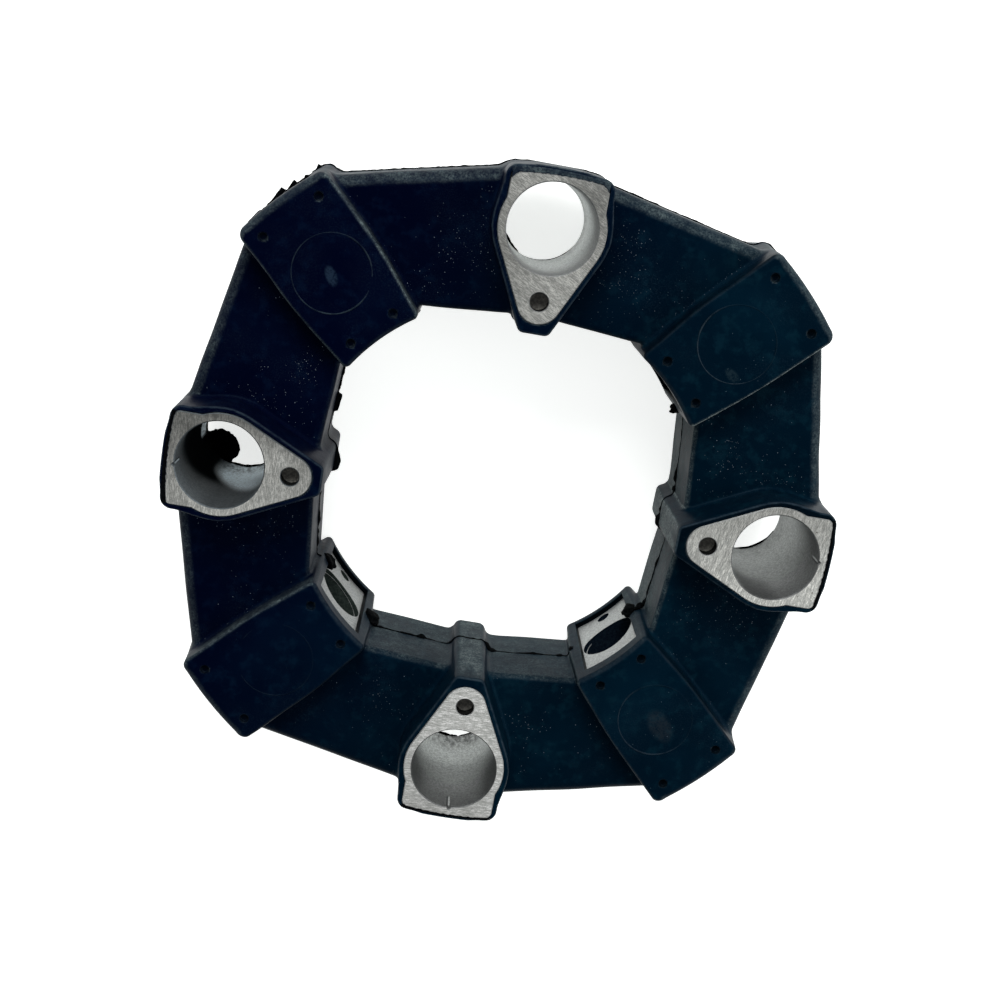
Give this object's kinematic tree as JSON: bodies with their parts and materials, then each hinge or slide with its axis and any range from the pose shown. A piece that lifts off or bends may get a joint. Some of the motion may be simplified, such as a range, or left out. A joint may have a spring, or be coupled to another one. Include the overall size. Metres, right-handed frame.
{
  "type": "engine coupling",
  "caption": "Flexible ring coupling: a moulded rubber body with bonded aluminium inserts for axial bolts at its bosses and radial bolts at its pads.",
  "frame": {"origin": "on the ring's axis, at the level of the pads' lower faces", "axes": "+Z along the ring's axis towards the bolting faces; +X through the axial insert at the right of the picture; +Y through the one at its top"},
  "size_m": [0.26, 0.26, 0.079],
  "materials": {
    "rubber": "moulded, near-black with a blue cast, soft sheen, light dust",
    "aluminium": "cast, with milled faces"
  },
  "bodies": {
    "root": {"rubber_ring": "rubber", "axial_insert_1": "aluminium", "axial_insert_2": "aluminium", "axial_insert_3": "aluminium", "axial_insert_4": "aluminium", "radial_insert_1": "aluminium", "radial_insert_2": "aluminium", "radial_insert_3": "aluminium", "radial_insert_4": "aluminium"}
  },
  "joints": []
}
